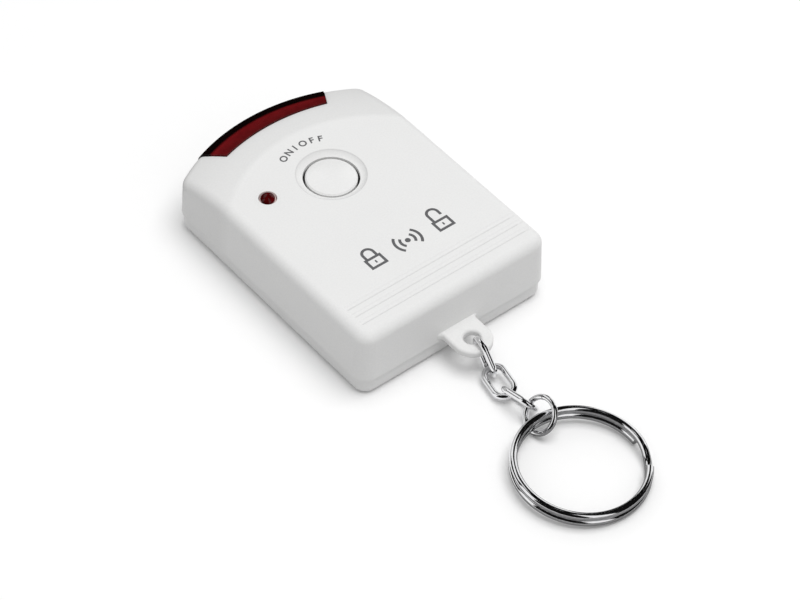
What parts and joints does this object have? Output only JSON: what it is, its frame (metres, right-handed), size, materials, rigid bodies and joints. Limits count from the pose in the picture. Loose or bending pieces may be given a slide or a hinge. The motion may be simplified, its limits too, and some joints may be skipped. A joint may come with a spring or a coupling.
{
  "type": "infrared key-ring remote control",
  "caption": "Flat white key-ring remote with a domed push button, lamp, red infrared window in a sloped nose, chain and split ring.",
  "frame": {"origin": "on the flat back of the case, on its centre line, 28.5 mm from the tail wall that carries the lug", "axes": "+Z leaves the button face, +Y points to the nose with the infrared window, -Y to the lug, chain and key ring"},
  "size_m": [0.04, 0.1015, 0.0146],
  "materials": {
    "white_plastic": "fine satin moulded ABS",
    "button_plastic": "smooth moulded ABS",
    "red_window": "dark red infrared-pass acrylic, polished",
    "red_lamp": "tinted clear resin",
    "emitter_resin": "blue-grey clear resin",
    "board_laminate": "green solder mask on glass laminate",
    "black_plastic": "moulded black resin",
    "tinned_steel": "tinned",
    "orange_resin": "dipped resin",
    "black_sleeve": "shrunk sleeve over an aluminium can",
    "beige_lacquer": "lacquer",
    "cell_steel": "nickel-plated steel",
    "spring_contact": "plated spring brass",
    "screw_steel": "zinc-plated",
    "chrome": "bright nickel-chrome plating"
  },
  "bodies": {
    "housing": {"top_shell": "white_plastic", "bottom_shell": "white_plastic", "ir_window": "red_window", "indicator_lamp": "red_lamp", "infrared_emitter": "emitter_resin", "circuit_board": "board_laminate", "switch_base": "black_plastic", "encoder_chip": "black_plastic", "transistor": "black_plastic", "switch_cover": "tinned_steel", "switch_dome": "tinned_steel", "indicator_leads": "tinned_steel", "emitter_leads": "tinned_steel", "encoder_pins": "tinned_steel", "transistor_leads": "tinned_steel", "resistor_leads": "tinned_steel", "resonator": "orange_resin", "capacitor": "black_sleeve", "resistors": "beige_lacquer", "coin_cell": "cell_steel", "negative_contact": "spring_contact", "positive_contact": "spring_contact", "case_screws": "screw_steel", "board_screws": "screw_steel"},
    "button": {"button_cap": "button_plastic", "switch_plunger": "black_plastic"},
    "door": {"battery_door": "white_plastic"},
    "chain_link_1": {"link_1": "chrome"},
    "chain_link_2": {"link_2": "chrome"},
    "chain_link_3": {"link_3": "chrome"},
    "joining_ring": {"small_ring": "chrome"},
    "split_ring": {"key_ring": "chrome"}
  },
  "joints": [
    {"name": "button_press", "type": "slide", "parent": "housing", "child": "button", "axis": [0, 0, -1], "range_m": [0, 0.0003], "stiffness_N_per_m": 3300, "deforming": ["switch_dome"]},
    {"name": "door_slide", "type": "slide", "parent": "housing", "child": "door", "axis": [0, 1, 0], "range_m": [0, 0.026]},
    {"name": "link_1_swing", "type": "hinge", "parent": "housing", "child": "chain_link_1", "pos_m": [0, -0.03475, 0.00485], "axis": [1, 0, 0], "range_deg": [-100, 60]},
    {"name": "link_2_swing", "type": "hinge", "parent": "chain_link_1", "child": "chain_link_2", "pos_m": [0.0002, -0.03759, 0.00092], "axis": [-0.2053, -0.7983, 0.5661], "range_deg": [-25, 25]},
    {"name": "link_3_swing", "type": "hinge", "parent": "chain_link_2", "child": "chain_link_3", "pos_m": [-0.00111, -0.04324, 0.00174], "axis": [0.952, -0.1941, 0.2368], "range_deg": [-20, 20]},
    {"name": "small_ring_swing", "type": "hinge", "parent": "chain_link_3", "child": "joining_ring", "pos_m": [-0.0004, -0.04855, 0.00293], "axis": [-0.5888, 0.1102, 0.8007], "range_deg": [-30, 30]},
    {"name": "key_ring_swing", "type": "hinge", "parent": "joining_ring", "child": "split_ring", "pos_m": [-0.00068, -0.05039, 0.003], "axis": [1, 0, 0], "range_deg": [-8, 40]}
  ]
}
